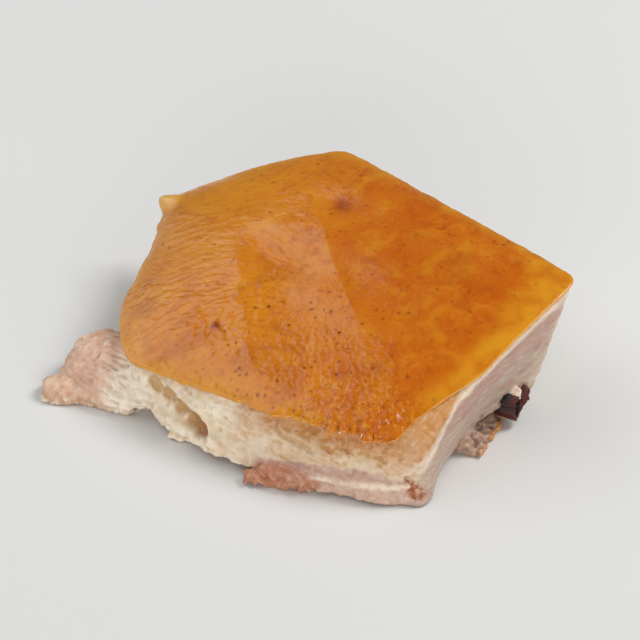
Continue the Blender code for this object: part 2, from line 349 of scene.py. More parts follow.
def soft_creases(flat, inside):
    """The relief of the two long creases in the skin."""
    y = flat[:, 1]

    # One runs forwards on the left: the skin drops beyond it and rises again slowly.
    past = past_crease(flat, LEFT_CREASE)
    length = 5.0 + 9.0 * rising(y, -4.0, 30.0)
    fall = rising(past, 8.0, 44.0) - (1.0 - np.exp(-past / length))
    ends = rising(y, 44.0, 30.0) * rising(y, -4.0, 4.0)
    relief = LEFT_CREASE_SLOPE * length * fall * ends * inside

    # The other runs behind it, and the skin stays a little lower on its right.
    past = past_crease(flat, BACK_CREASE)
    ends = rising(y, 16.0, 26.0) * rising(y, 58.0, 48.0)
    fall = 1.0 - np.exp(-past / BACK_CREASE_BREADTH)
    return relief - BACK_CREASE_DROP * fall * ends * inside


def left_wrinkles(flat, reach, inside, left):
    """Fine wrinkles on the left of the skin, and crinkles where it sags towards the tongue."""
    warped = flat @ WRINKLE_TURN / WRINKLE_STRETCH + 1.1 * ripple(flat, 7.0, 41)[:, None]
    broad = ridge(warped, 2.3, 43) ** 2 - 0.35
    fine = ridge(warped, 1.1, 45) ** 2 - 0.35
    patch = np.clip(0.85 + 1.0 * ripple(flat, 11.0, 46), 0.5, 1.2)
    relief = WRINKLE_HEIGHT * left * inside * patch * (0.8 * broad + 0.4 * fine)
    relief += 0.03 * left * inside * ripple(flat, 1.2, 48)
    sagging = left * rising(flat[:, 1], 26.0, 16.0) * (1.0 - reach**24)
    crinkled = ridge(flat + 0.9 * ripple(flat, 3.0, 54)[:, None], 1.9, 44) ** 2
    return relief + sagging * (CRINKLE_HEIGHT * crinkled + 0.10 * ripple(flat, 1.1, 55))


def skin_relief(places, reach):
    """How far the skin stands up from its smooth form, in millimetres."""
    flat = places * SEEN_FROM_ABOVE
    inside = 1.0 - reach**8
    left = rising(flat[:, 0], -44.0, -64.0)
    relief = soft_creases(flat, inside) + left_wrinkles(flat, reach, inside, left)
    bent = flat + 0.5 * ripple(flat, 2.0, 47)[:, None]
    curds = 0.8 * (ridge(bent, 1.5, 49) - 0.5) + 0.8 * ripple(bent, 0.9, 50)
    relief += CURD_HEIGHT * front_curd(places, reach) * curds
    uneven = 0.25 + 0.75 * np.maximum(left, rising(flat[:, 1], 30.0, 6.0))
    return relief + uneven * (0.10 * ripple(flat, 7.0, 51) + 0.035 * ripple(flat, 3.2, 53))


def torn_margin(outline):
    """How far the skin's edge is out of line: broadly all round, and finely where it is torn."""
    rim = outline.rim
    front = np.clip(outline.side_weight(FRONT_SIDE) + outline.side_weight(LEFT_SIDE), 0.0, 1.0)
    torn_side = front * rising(rim[:, 0], -58.0, -42.0)
    corner = rising(rim[:, 0], -40.0, -20.0)
    broad = outline.ragged * (0.30 + 0.70 * torn_side) * crag(rim, 4.5, 21)
    fine = 1.3 * crag(rim, 2.1, 61) + 0.7 * ripple(rim, 0.8, 62)
    fine *= 0.15 + (0.85 + 1.5 * corner) * torn_side
    fine *= np.clip(0.7 + 1.4 * ripple(rim, 9.0, 64), 0.25, 1.3)
    return broad, fine


def drawn_back(ring):
    """The skin pulled back from the front corner, along the right cut face."""
    pull = rising(ring[:, 0], -22.0, -4.0) * rising(ring[:, 1], 21.0, 3.0)
    return ring - np.outer(CORNER_RETREAT * pull, (1.0, 0.0, 0.0))


def peaked(ring):
    """The thin tip of skin that stands out at the left back corner."""
    tip = ease(1.0 - beside(ring, -95.0, 50.0) / 5.0) ** 2
    return ring + np.outer(tip, TIP_STRETCH)


def skin_rings(outline):
    """Each ring of the skin, from its middle over its edge to its underside, with its reach."""
    plane = outline.plane()
    broad, fine = torn_margin(outline)
    rings = []
    for level in range(SKIN_RINGS, -1, -1):
        inward = (level / (SKIN_RINGS + 1)) ** 1.15
        share = 1.0 - inward
        reach = SKIN_INSET * share
        ring = outline.rounded(skin_ring(outline, plane, reach), HIP_SMOOTHING * inward)
        ring += (broad * share**30 + fine * share**70)[:, None] * outline.outward
        ring[:, 2] += skin_relief(ring, reach)
        rings.append((reach, ring))
    edge = rings[-1][1]
    half = 0.5 * EDGE_THICKNESS * (1.0 + 0.5 * crag(outline.rim, 3.0, 63))
    for turn in EDGE_TURNS:
        angle = math.radians(turn)
        ring = edge + (half * 0.8 * math.sin(angle))[:, None] * outline.outward
        ring[:, 2] -= half * (1.0 - math.cos(angle))
        rings.append((1.0 + turn / 1000.0, ring))
    for reach in UNDER_REACHES:
        ring = outline.rounded(skin_ring(outline, plane, reach), HIP_SMOOTHING * (1.0 - reach))
        ring[:, 2] -= SKIN_THICKNESS
        rings.append((UNDERSIDE, ring))
    return [(reach, peaked(drawn_back(ring))) for reach, ring in rings]


def make_skin():
    reaches, rings = zip(*skin_rings(Outline(SKIN_FINENESS)))
    top = rings[0].mean(axis=0)
    bottom = rings[-1].mean(axis=0)
    skin, level = moulded_ball("roast_skin_sheet", rings, top, bottom)
    reach = np.array((0.0, *reaches, UNDERSIDE))[level]
    places = from_frame(coordinates(skin))
    add_values(skin, "skin_zones", skin_zones(places, reach))
    add_values(skin, "skin_parts", skin_parts(places, reach))
    shade(skin, 70.0)
    return skin


def skin_zones(places, reach):
    """Golden margin, deep roast and brown spots at each vertex, as three values."""
    flat = places * SEEN_FROM_ABOVE
    x, y = places[:, 0], places[:, 1]
    uneven = crag(flat, 9.0, 71)
    fine = crag(flat, 3.0, 73)
    golden = rising(reach + 0.10 * rising(x, -16.0, -2.0) + 0.08 * uneven, 0.88, 1.02)
    golden *= (1.0 - 0.85 * front_curd(places, reach)) * np.clip(0.8 + 0.9 * fine, 0.3, 1.0)
    tip = ease(1.0 - beside(places, -96.0, 50.0) / 8.0 + 0.25 * fine)
    golden = np.maximum(golden, 1.3 * tip)
    golden = np.maximum(golden, 0.55 * rising(x, -64.0, -86.0) * (0.7 + fine))
    deep = rising(x + 0.35 * y + 12.0 * uneven, -50.0, -16.0)
    deep *= np.clip(0.85 + 0.5 * crag(flat, 13.0, 75), 0.0, 1.0)
    spots = np.zeros(len(places))
    for spot in BROWN_SPOTS:
        apart = beside(places, spot.x, spot.y) / spot.radius + 0.35 * fine
        spots = np.maximum(spots, spot.strength * ease(1.25 - apart))
    return np.clip(np.stack([golden, deep, spots], axis=1), 0.0, 1.0)


def skin_parts(places, reach):
    """Cut edge, pores and curdled skin at each vertex, as three values."""
    uneven = crag(places * SEEN_FROM_ABOVE, 6.0, 77)
    edge = rising(reach, 1.0, 1.08) * (0.35 + 0.5 * rising(places[:, 0], -20.0, 0.0))
    tip = ease(1.5 - beside(places, -97.0, 50.5) / 3.4 + 0.5 * uneven)
    edge = np.maximum(edge, 0.9 * tip)
    pores = ease(1.5 - beside(places, -42.0, 12.0) / 19.0 + 0.8 * uneven)
    pores = np.maximum(pores, 0.7 * ease(0.5 + 1.5 * uneven))
    return np.clip(np.stack([edge, pores, front_curd(places, reach)], axis=1), 0.0, 1.0)


# Flesh: the fat and meat under the skin.
FLESH_FINENESS = 3
FLESH_LEVELS = 26
FLESH_VOXEL = 0.42
HIDDEN_SHARE = 0.42
LUMP_DIVISIONS = 5
FLAP_CUTS = 30
SOFTENING, SOFTENING_PASSES = 0.5, 6
HIDDEN_DROP = 2.4
TOP_REACHES = (0.2, 0.45, 0.65, 0.8, 0.9, 0.95)
FOOT_REACHES = (0.9, 0.78, 0.66, 0.4, 0.2)
FIBRE_TURN = np.array(Matrix.Rotation(math.radians(-18.0), 3, "X"))
FIBRE_STRETCH = np.array((1.0, 9.0, 1.0))
STRING_TURN = np.array(Matrix.Rotation(math.radians(14.0), 3, "Y"))
STRING_STRETCH = np.array((5.0, 1.3, 1.0))


def flesh_slab(outline):
    """The meat without its lumps: hidden top, cut faces and underside."""
    plane = outline.plane()
    rings = []
    for reach in TOP_REACHES:
        ring = outline.rounded(skin_ring(outline, plane, reach), HIP_SMOOTHING * (1 - reach))
        ring[:, 2] -= 0.95 * SKIN_THICKNESS + HIDDEN_DROP * rising(reach, 0.93, 0.68)
        rings.append(ring)
    for level in range(FLESH_LEVELS, -1, -1):
        share = level / FLESH_LEVELS
        neck = outline.rim - outline.tuck[:, None] * outline.outward
        neck[:, 2] -= 0.9 * SKIN_THICKNESS
        place = outline.foot + share * (neck - outline.foot)
        swell = outline.belly * math.sin(math.pi * share)
        swell = swell + outline.ledge * ease((LEDGE_TOP - share) / LEDGE_FADE)
        rough = outline.ragged * crag(place, 7.0, 11)
        place += (swell + rough)[:, None] * outline.outward
        if level == 0:
            place[:, 2] = np.maximum(0.0, place[:, 2])
        rings.append(place)
    foot = rings[-1]
    for reach in FOOT_REACHES:
        ring = CENTRE + (outline.foot * SEEN_FROM_ABOVE - CENTRE) * reach
        ring[:, 2] = outline.foot[:, 2] * ease((reach - FLAT_SHARE) / (1.0 - FLAT_SHARE))
        rings.append(ring)
    top = rings[0].mean(axis=0)
    return moulded_ball("pale_flesh", rings, top, CENTRE)[0]


def lump_turn(lump):
    turn = Matrix.Rotation(math.radians(lump.turn), 3, "Z")
    return np.array(turn @ Matrix.Rotation(math.radians(lump.tip), 3, "X"))


def seen_from(lump, places):
    """Places in the turned frame of a lump, in which each of its half sizes is 1."""
    return (places - lump.middle) @ lump_turn(lump) / np.array(lump.half)


def settle(obj, places):
    """Moves the vertices to the places, and any that are too low onto the resting surface."""
    places[:, 2] = np.maximum(0.0, places[:, 2])
    set_coordinates(obj, to_frame(places))


def lump_object(name, lump):
    bpy.ops.mesh.primitive_ico_sphere_add(subdivisions=LUMP_DIVISIONS, radius=1.0)
    obj = bpy.context.object
    obj.name = name
    direction = coordinates(obj)
    direction /= np.linalg.norm(direction, axis=1, keepdims=True)
    squarer = np.sign(direction) * np.abs(direction) ** SQUARENESS
    stretched = squarer * np.array(lump.half)
    rough = lump.rough * crag(stretched, 0.45 * max(lump.half), 31)
    places = (stretched + rough[:, None] * direction) @ lump_turn(lump).T + lump.middle
    settle(obj, places)
    return obj


def flap_thinning(local_x):
    """The share of its full height that the flap has at each place across it."""
    return 1.0 - 0.64 * rising(local_x, 0.3, 1.0)


def flap_object(lump):
    """The flat flap beside the rib: thick where it leaves the meat and thin at its outer edge."""
    bpy.ops.mesh.primitive_cube_add(size=2.0)
    obj = bpy.context.object
    obj.name = "rib_flap"
    bpy.ops.object.mode_set(mode="EDIT")
    bpy.ops.mesh.select_all(action="SELECT")
    bpy.ops.mesh.subdivide(number_cuts=FLAP_CUTS)
    bpy.ops.object.mode_set(mode="OBJECT")
    local = coordinates(obj)
    local[:, 2] = (local[:, 2] + 1.0) * flap_thinning(local[:, 0]) - 1.0
    stretched = local * np.array(lump.half)
    outward = local / np.linalg.norm(local, axis=1, keepdims=True)
    stretched += 0.5 * lump.rough * crag(stretched, 5.0, 35)[:, None] * outward
    places = stretched @ lump_turn(lump).T + lump.middle
    settle(obj, places)
    return obj


def on_flap(places, lump):
    """1 on the flap and 0 on the rest of the meat."""
    local = seen_from(lump, places)
    top = 2.0 * flap_thinning(local[:, 0]) - 1.0
    share = ease((top + 0.16 - local[:, 2]) / 0.1)
    for way in (0, 1):
        share = share * ease((1.12 - np.abs(local[:, way])) / 0.06)
    return share


def inside_lump(places, lump):
    """How far out each place is from a lump's middle: 1 on its surface."""
    local = seen_from(lump, places)
    return (np.abs(local) ** (2.0 / SQUARENESS)).sum(axis=1) ** (0.5 * SQUARENESS)


def hollow_share(places, lumps):
    """1 where a hollow is deepest and 0 outside it, with a ragged edge between."""
    share = np.zeros(len(places))
    for lump in lumps:
        far = np.linalg.norm(seen_from(lump, places), axis=1)
        near = np.flatnonzero(far < 2.0)
        ragged = crag(places[near], 3.2, 33) + 0.3 * ripple(places[near], 1.2, 34)
        wall = 1.0 + lump.rough * ragged
        share[near] = np.maximum(share[near], ease((wall - far[near]) / 0.5))
    return share


def recess_floor(places, hollow):
    """How far back the smooth floor of the recess lies: a scoop along the row of its lumps."""
    first, last = np.array(hollow.lumps[0].middle), np.array(hollow.lumps[-1].middle)
    along = (places[:, 0] - first[0]) / (last[0] - first[0])
    above = places[:, 2] - first[2] - along * (last[2] - first[2])
    mouth = first[1] + along * (last[1] - first[1])
    return mouth + hollow.depth * (0.75 + 0.35 * along) - 0.14 * above**2


def nearest_on_faces(places, outline):
    """For each place, the nearest point of the outline and the share of the face's height."""
    levels = np.linspace(0.0, 1.0, 15)
    tree = kdtree.KDTree(len(outline) * len(levels))
    for number, share in enumerate(levels):
        row = outline.foot + share * (outline.rim - outline.foot)
        for i, place in enumerate(row):
            tree.insert(place, number * len(outline) + i)
    tree.balance()
    found = np.array([tree.find(place)[1] for place in places])
    step = found % len(outline)
    top, low = outline.rim[step], outline.foot[step]
    height = (places[:, 2] - low[:, 2]) / np.maximum(1.0, top[:, 2] - low[:, 2])
    return step, np.clip(height, 0.0, 1.0)


def along_fibres(places):
    """Coordinates squeezed along the fibres of the meat, which rise towards the back."""
    return (places @ FIBRE_TURN.T) / FIBRE_STRETCH


def thin_hidden_faces(body, outline):
    """Fewer faces where the skin or the underside hides them."""
    places = from_frame(coordinates(body))
    facing = normals(body)
    inward = places[:, :2] - CENTRE[:2]
    rim = outline.rim[:, :2] - CENTRE[:2]
    turn = np.arctan2(inward[:, 1], inward[:, 0])
    order = np.argsort(np.arctan2(rim[:, 1], rim[:, 0]))
    angles = np.arctan2(rim[order, 1], rim[order, 0])
    edge = np.interp(turn, angles, np.hypot(*rim[order].T), period=2.0 * math.pi)
    reach = np.hypot(*inward.T) / edge
    hidden = (facing[:, 2] > 0.5) & (reach < 0.86) & (places[:, 2] > 8.0)
    hidden |= (facing[:, 2] < -0.5) & (reach < 0.7)
    group = body.vertex_groups.new(name="hidden")
    group.add(np.flatnonzero(hidden).tolist(), 1.0, "REPLACE")
    thin = body.modifiers.new("thin", "DECIMATE")
    thin.ratio = HIDDEN_SHARE
    thin.vertex_group = group.name
    select_only(body)
    bpy.ops.object.modifier_apply(modifier=thin.name)
    body.vertex_groups.clear()


def joined_flesh(outline):
    """The slab and its lumps made into one mesh, softened and thinned where it is hidden."""
    body = flesh_slab(outline)
    lumps = [lump_object(name, lump) for name, lump in LUMPS.items() if name != "rib_flap"]
    lumps.append(flap_object(LUMPS["rib_flap"]))
    select_only(body, *lumps)
    bpy.ops.object.join()
    body.data.remesh_voxel_size = FLESH_VOXEL * MM
    bpy.ops.object.voxel_remesh()
    smooth = body.modifiers.new("soften", "SMOOTH")
    smooth.factor = SOFTENING
    smooth.iterations = SOFTENING_PASSES
    select_only(body)
    bpy.ops.object.modifier_apply(modifier=smooth.name)
    thin_hidden_faces(body, outline)
    return body


def sink_hollows(body):
    """Takes the hollows out of the meat, and gives the share of each at every vertex."""
    places = from_frame(coordinates(body))
    facing = normals(body)
    shares = {}
    for name, hollow in HOLLOWS.items():
        shares[name] = hollow_share(places, hollow.lumps)
        if name == "recess":
            places[:, 1] += shares[name] * (recess_floor(places, hollow) - places[:, 1])
        else:
            places -= (hollow.depth * shares[name])[:, None] * facing
    settle(body, places)
    return places, shares


def make_flesh():
    outline = Outline(FLESH_FINENESS)
    body = joined_flesh(outline)
    places, hollows = sink_hollows(body)
    facing = normals(body)
    zones = flesh_zones(places, facing, hollows, outline)
    textures = flesh_textures(places)
    places += flesh_relief(places, zones, textures)[:, None] * facing
    settle(body, places)
    add_values(body, "flesh_color", flesh_colors(places, zones, textures))
    add_values(body, "flesh_kind", np.stack([zones["lean"], zones["fat"], zones["browned"]], 1))
    shade(body, 80.0)
    return body


def band(value, middle, half):
    """1 in the middle of a band and 0 outside it."""
    return ease(1.0 - np.abs(value - middle) / half)


def flesh_zones(places, facing, hollows, outline):
    """The share of each kind of fat and meat at each vertex."""
    step, height = nearest_on_faces(places, outline)
    x, y = places[:, 0], places[:, 1]
    right = outline.side_weight(RIGHT_SIDE, 3)[step]
    front = outline.side_weight(FRONT_SIDE, 3)[step]
    turned = front * ease((x + 7.4 - 4.2 * rising(height, 0.3, 0.8)) / 0.8)
    turned *= 1.0 - rising(hollows["corner_pit"], 0.1, 0.3)
    right, front = np.clip(right + turned, 0.0, 1.0), front * (1.0 - turned)
    uneven = crag(places, 6.0, 81)
    fine = crag(places, 2.2, 83)
    tongue = ease((1.25 - inside_lump(places, LUMPS["tongue"])) / 0.25)
    for name in ("tongue_tip", "tongue_side"):
        tongue = np.maximum(tongue, ease((1.3 - inside_lump(places, LUMPS[name])) / 0.3))
    flap = on_flap(places, LUMPS["rib_flap"])
    sliver = ease((1.3 - inside_lump(places, LUMPS["cartilage"])) / 0.25)
    crumb = ease((1.45 - inside_lump(places, LUMPS["browned_crumb"])) / 0.35)
    crumb = np.maximum(crumb, ease((1.6 - inside_lump(places, LUMPS["crumb_tip"])) / 0.4))
    under = rising(-facing[:, 2], 0.45, 0.75)

    # The lean strip along the bottom of the front cut face runs out towards the left.
    lean_top = 0.30 + 0.20 * rising(x, -46.0, -16.0) - 0.10 * rising(x, -16.0, -2.0)
    lean_reach = ease((x + 47.0 + 4.0 * uneven) / 9.0)
    strip = front * lean_reach * ease((lean_top + 0.05 * uneven + 0.03 * fine - height) / 0.07)
    # The ridge along the top of the front ledge, which also gets a painted highlight.
    rim_height = 0.20 + 0.13 * rising(x, -30.0, -4.0) + 0.02 * uneven
    ridge_and_highlight = front * rising(x, -38.0, -33.0) * band(height, rim_height, 0.075)

    # The right cut face is lean under a thin line of fat that widens at the front corner.
    corner = rising(y, 15.0, 2.0)
    fat_edge = 0.90 - 0.33 * corner + 0.03 * fine
    wedge = right * ease((height - fat_edge) / (0.05 + 0.12 * corner))
    face = right * (1.0 - wedge) * (1.0 - flap)
    line = right * band(height, fat_edge, 0.07 + 0.04 * corner)

    back = np.clip(1.0 - right - front, 0.0, 1.0)
    waver = 0.20 * crag(places * np.array((1.0, 1.0, 0.3)), 15.0, 85)
    parted = ease((0.52 + waver + 0.15 * uneven + 0.05 * fine - height) / 0.16)
    parted *= 1.0 - 0.8 * ease((ripple(places, 7.0, 86) - 0.1) / 0.25)
    lean = np.clip(strip + face + back * parted, 0.0, 1.0)
    lean *= (1.0 - tongue) * (1.0 - flap)
    fat = np.clip(1.0 - lean, 0.0, 1.0)
    tan = front * ease((x + 56.0 + 6.0 * uneven) / 24.0) * (0.6 + 0.4 * rising(height, 0.5, 0.75))
    tan = np.clip(tan * (1.0 - strip) + wedge, 0.0, 1.0) * (1.0 - tongue)
    return {
        "right": right, "front": front, "height": height, "face": face, "strip": strip,
        "tongue": tongue, "flap": flap, "crumb": crumb, "sliver": sliver,
        "lean": lean, "fat": fat, "tan": tan, "ridge_and_highlight": ridge_and_highlight, "line": line,
        "recess": hollows["recess"], "pit": hollows["corner_pit"], "gap": hollows["under_gap"],
        "top": rising(facing[:, 2], 0.55, 0.8) * rising(places[:, 2], 9.0, 11.0),
        "browned": np.clip(np.maximum(crumb, 0.5 * under * (1.0 - tongue)), 0.0, 1.0),
    }


def flesh_textures(places):
    """Fibres, strings, crumbs and lumps in the fat and meat, most between about -1 and 1."""
    bent = 0.5 * ripple(places, 5.0, 92)[:, None]
    strings = 2.0 * ridge(places @ STRING_TURN / STRING_STRETCH + bent, 1.15, 93) - 0.8
    crumbs = crag(places, 1.3, 96)
    return {
        "fibres": ripple(along_fibres(places), 1.3, 91),
        "strings": strings,
        "crumbs": crumbs,
        "raised": ease(0.5 + 0.45 * strings + 0.9 * crumbs),
        "sunk": ease((-0.25 - crumbs - 0.3 * strings) / 0.5),
        "teeth": crag(places, 2.4, 98),
        "lumps": crag(places, 3.0, 95),
        "creases": 2.0 * ridge(places, 2.3, 97) - 0.8,
    }


def flesh_relief(places, zones, textures):
    """How far the fat and meat stand out from their smooth form, in millimetres."""
    strings, crumbs, creases = (textures[name] for name in ("strings", "crumbs", "creases"))
    rough = 1.0 - np.clip(zones["face"], 0.0, 1.0)
    outer = zones["tongue"] * rising(places[:, 0], -79.0, -85.0)
    left = rising(places[:, 0], -36.0, -50.0) * zones["front"]
    low = rising(zones["height"], 0.42, 0.22)
    edge = zones["tongue"] * rising(places[:, 2], 2.6, 1.2)
    teeth = zones["right"] * rising(zones["height"], 0.22, 0.08) * rising(places[:, 1], 12.0, 20.0)
    relief = 0.10 * textures["fibres"] * zones["face"]
    rough *= (1.0 - 0.7 * outer) * (1.0 - 0.92 * zones["flap"])
    relief += rough * (0.26 * textures["lumps"] + 0.20 * strings + 0.12 * crumbs)
    relief += left * (0.25 + 0.75 * low) * 0.55 * crumbs
    relief += teeth * (0.9 * textures["teeth"] + 0.5 * crumbs)
    relief += zones["tongue"] * (1.0 - 0.75 * outer) * (0.24 * strings + 0.16 * crumbs)
    relief += outer * (0.12 * creases + 0.17 * crumbs + 0.10 * strings) + 0.60 * edge * crumbs
    relief += zones["crumb"] * (0.55 * creases + 0.35 * crumbs)
    relief += zones["flap"] * 0.08 * crumbs
    relief += 0.35 * zones["ridge_and_highlight"]
    relief *= 1.0 - 0.85 * zones["recess"]
    relief *= 1.0 - 0.75 * zones["top"]
    return relief


LEAN_PINK = linear(210, 170, 150)
TONGUE_PINK = linear(222, 180, 152)
LEAN_PALE = linear(208, 186, 162)
LEAN_ROSE = linear(192, 138, 122)
FAT_CREAM = linear(236, 212, 178)
# Painted shade for the fat's creases and the tongue's foot near the plate.
FAT_PAINTED_SHADE = linear(190, 148, 102)
FAT_LIGHT = linear(248, 236, 216)
FAT_TAN = linear(198, 142, 70)
FAT_AMBER = linear(202, 136, 66)
RIM_WHITE = linear(240, 222, 200)
RECESS_TAN = linear(196, 153, 95)
# Painted shade for the right end of the recess.
RECESS_PAINTED_SHADE = linear(158, 106, 58)
BROWNED = linear(190, 122, 78)
DARK_MEAT = linear(150, 110, 88)
PIT_BROWN = linear(186, 104, 44)
# Painted shade: brown for creases and the gap under the tongue.
SHADE_BROWN = linear(120, 66, 48)
DARK_RED = linear(92, 34, 26)
# Painted shade: how much darker the lean on the right cut face is painted.
FACE_PAINTED_SHADE = (0.24, 0.28, 0.26)


def painted(base, *coats):
    """The base colours with each coat over the last one: a coat is a colour and its shares."""
    colors = base
    for color, share in coats:
        colors = colors + (color - colors) * np.clip(share, 0.0, 1.0)[:, None]
    return colors


def fat_colors(zones, textures, mottle):
    """Cream fat with tan and amber under the skin, lighter on raised threads as painted highlight
    over its own cream streaks, and darker in creases as painted shade.
    """
    tan = zones["tan"]
    return painted(
        np.tile(FAT_CREAM, (len(mottle), 1)),
        # Partly the fat's own cream streaks, partly painted highlight on the raised threads.
        (FAT_LIGHT, 0.75 * textures["raised"] + 0.3 * mottle),
        # Painted shade in the creases.
        (FAT_PAINTED_SHADE, 0.30 * textures["sunk"]),
        (FAT_TAN, tan * (1.0 + 0.4 * mottle - 0.34 * textures["raised"])),
        (FAT_AMBER, tan * rising(zones["height"], 0.6, 0.85) * 0.7),
    )


def lean_colors(places, zones):
    """Pale lean meat with pink streaks along its fibres, and painted shade that darkens it on the
    right cut face.
    """
    streak = crag(along_fibres(places), 1.9, 101)
    pinker = zones["face"] * rising(zones["height"], 0.42, 0.72) + 0.75 * zones["strip"]
    lean = painted(
        np.tile(LEAN_PALE, (len(places), 1)),
        (LEAN_PINK, pinker + 0.5 * streak),
        (LEAN_ROSE, zones["lean"] * rising(streak, 0.12, 0.37) * 0.55),
        (LEAN_ROSE, 0.6 * zones["strip"] * rising(places[:, 0], -20.0, -34.0)),
    )
    # Painted shade: the lean on the right cut face is darkened here.
    return lean * (1.0 - np.outer(zones["face"], FACE_PAINTED_SHADE))


def tongue_colors(places, textures, mottle):
    """Pink meat at the tip of the tongue, with light fat further in and crumbs at its foot; its
    creases and the gaps between its lowest crumbs get painted shade.
    """
    crumbs = textures["crumbs"]
    inner = rising(places[:, 0] + 5.0 * mottle, -84.0, -77.0)
    lowest = rising(places[:, 2], 2.4, 1.2)
    return painted(
        np.tile(TONGUE_PINK, (len(places), 1)),
        (LEAN_ROSE, 0.35 * ease(0.3 + 1.6 * mottle)),
        # Light fat further in, a little lighter still on raised threads as painted highlight.
        (FAT_LIGHT, inner * (0.70 + 0.30 * textures["raised"])),
        (FAT_LIGHT, 0.35 * (1.0 - inner) * rising(crumbs, 0.1, 0.5)),
        # Painted shade in the tongue's creases, in a brown tone.
        (BROWNED, 0.30 * textures["sunk"]),
        # Painted shade at the tongue's foot near the plate, darkest between the crumbs.
        (FAT_PAINTED_SHADE, 0.55 * lowest * (0.6 - 0.5 * crumbs)),
        (FAT_LIGHT, 0.8 * lowest * rising(crumbs, 0.1, 0.4)),
    )


def flesh_colors(places, zones, textures):
    """The colour of fat and meat at each vertex: raised threads lighter, partly as painted highlight,
    and creases darker as painted shade.
    """
    height, flap, crumb = zones["height"], zones["flap"], zones["crumb"]
    raised, sunk, crumbs = textures["raised"], textures["sunk"], textures["crumbs"]
    mottle = crag(places, 5.0, 103)
    flap_x = seen_from(LUMPS["rib_flap"], places)[:, 0]
    red_foot = zones["right"] * rising(-textures["teeth"], 0.3, 0.4) * rising(height, 0.12, 0.02)
    red_specks = np.maximum(flap * rising(-textures["teeth"], 0.22, 0.34), red_foot)
    deep = rising(zones["recess"], 0.35, 0.85)
    pit = rising(zones["pit"], 0.2, 0.6)
    dots = zones["tan"] * ease((ripple(places, 1.5, 99) - 0.46) / 0.10) * rising(height, 0.45, 0.55)
    specks = zones["front"] * rising(-crumbs, 0.45, 0.57) * rising(height, 0.75, 0.55)
    return painted(
        fat_colors(zones, textures, mottle),
        (lean_colors(places, zones), zones["lean"]),
        # Cream-white painted highlight along the front ledge's ridge, and the fat's own light line on
        # the right cut face.
        (RIM_WHITE, 0.85 * zones["ridge_and_highlight"] + 0.85 * zones["line"]),
        (tongue_colors(places, textures, mottle), zones["tongue"]),
        (DARK_MEAT, flap),
        # Painted highlight on the flap's raised bumps, and painted shade in its creases.
        (LEAN_PALE, flap * raised * 0.35),
        (SHADE_BROWN, flap * sunk * 0.4),
        (FAT_AMBER, 0.85 * flap * rising(flap_x, 0.95, 1.0)),
        (DARK_RED, 0.75 * red_specks),
        (RIM_WHITE, zones["sliver"]),
        (RECESS_TAN, deep * 0.92),
        # Painted shade: the recess darkens towards its right end.
        (RECESS_PAINTED_SHADE, deep * rising(places[:, 0], -62.0, -55.0) * 0.75),
        # Painted shadow in the gap under the tongue.
        (SHADE_BROWN, 0.8 * zones["gap"]),
        (BROWNED, zones["browned"] * (0.9 + 0.5 * mottle)),
        (LEAN_ROSE, crumb * raised * 0.35),
        # Painted shade in the crumb's creases.
        (SHADE_BROWN, crumb * sunk * 0.6),
        (PIT_BROWN, pit * (0.9 + 0.5 * crumbs)),
        (FAT_LIGHT, 0.55 * pit * rising(textures["creases"], 0.5, 0.8)),
        (DARK_RED, 0.6 * pit * rising(-crumbs, 0.1, 0.4)),
        (PIT_BROWN, 0.8 * dots),
        (BROWNED, 0.55 * specks),
    )


# Rib: the cut end of the bone under the right cut face, with charred flakes round it.
RIB_END = np.array((-0.4, 33.6, 4.3))
RIB_RADIUS, RIB_LENGTH, RIB_MARROW = 2.7, 15.0, 1.5
RIB_POINTS = 40
RIM_WIDTH, RIM_SLOPE, MARROW_SLOPE = 0.35, 0.25, 0.4
MARROW_DEPTH = 2.4
RIB_CUTS = 3
RIB_SQUASH = np.array((1.12, 0.9, 1.0))
RIB_TURN = np.array(Matrix.Rotation(math.radians(90.0), 3, "Y"))
BREAK_MIDDLE = np.array((-2.0, 30.6, 4.6))
BREAK_HALF = np.array((2.0, 2.4, 1.9))
BREAK_DEPTH = 2.2
Flake = namedtuple("Flake", "middle half tip turn")
CHAR_FLAKES = (
    Flake((-1.8, 32.2, 7.0), (2.2, 1.1, 0.9), 20.0, 30.0),
    Flake((-1.6, 36.4, 6.2), (2.2, 1.3, 2.2), -24.0, 10.0),
    Flake((-1.7, 38.4, 8.8), (1.4, 0.8, 1.9), 30.0, -20.0),
    Flake((-2.4, 37.0, 3.4), (1.9, 1.1, 1.3), 10.0, 12.0),
)


def charred_flake(number, flake):
    bpy.ops.mesh.primitive_ico_sphere_add(subdivisions=4, radius=1.0)
    obj = bpy.context.object
    obj.name = "char_flake_" + str(number)
    direction = coordinates(obj)
    shape = direction * np.array(flake.half)
    shape *= 1.0 + 0.7 * crag(shape + 9.0 * number, 1.5, 121)[:, None]
    places = shape @ lump_turn(flake).T + flake.middle
    set_coordinates(obj, to_frame(places))
    return obj


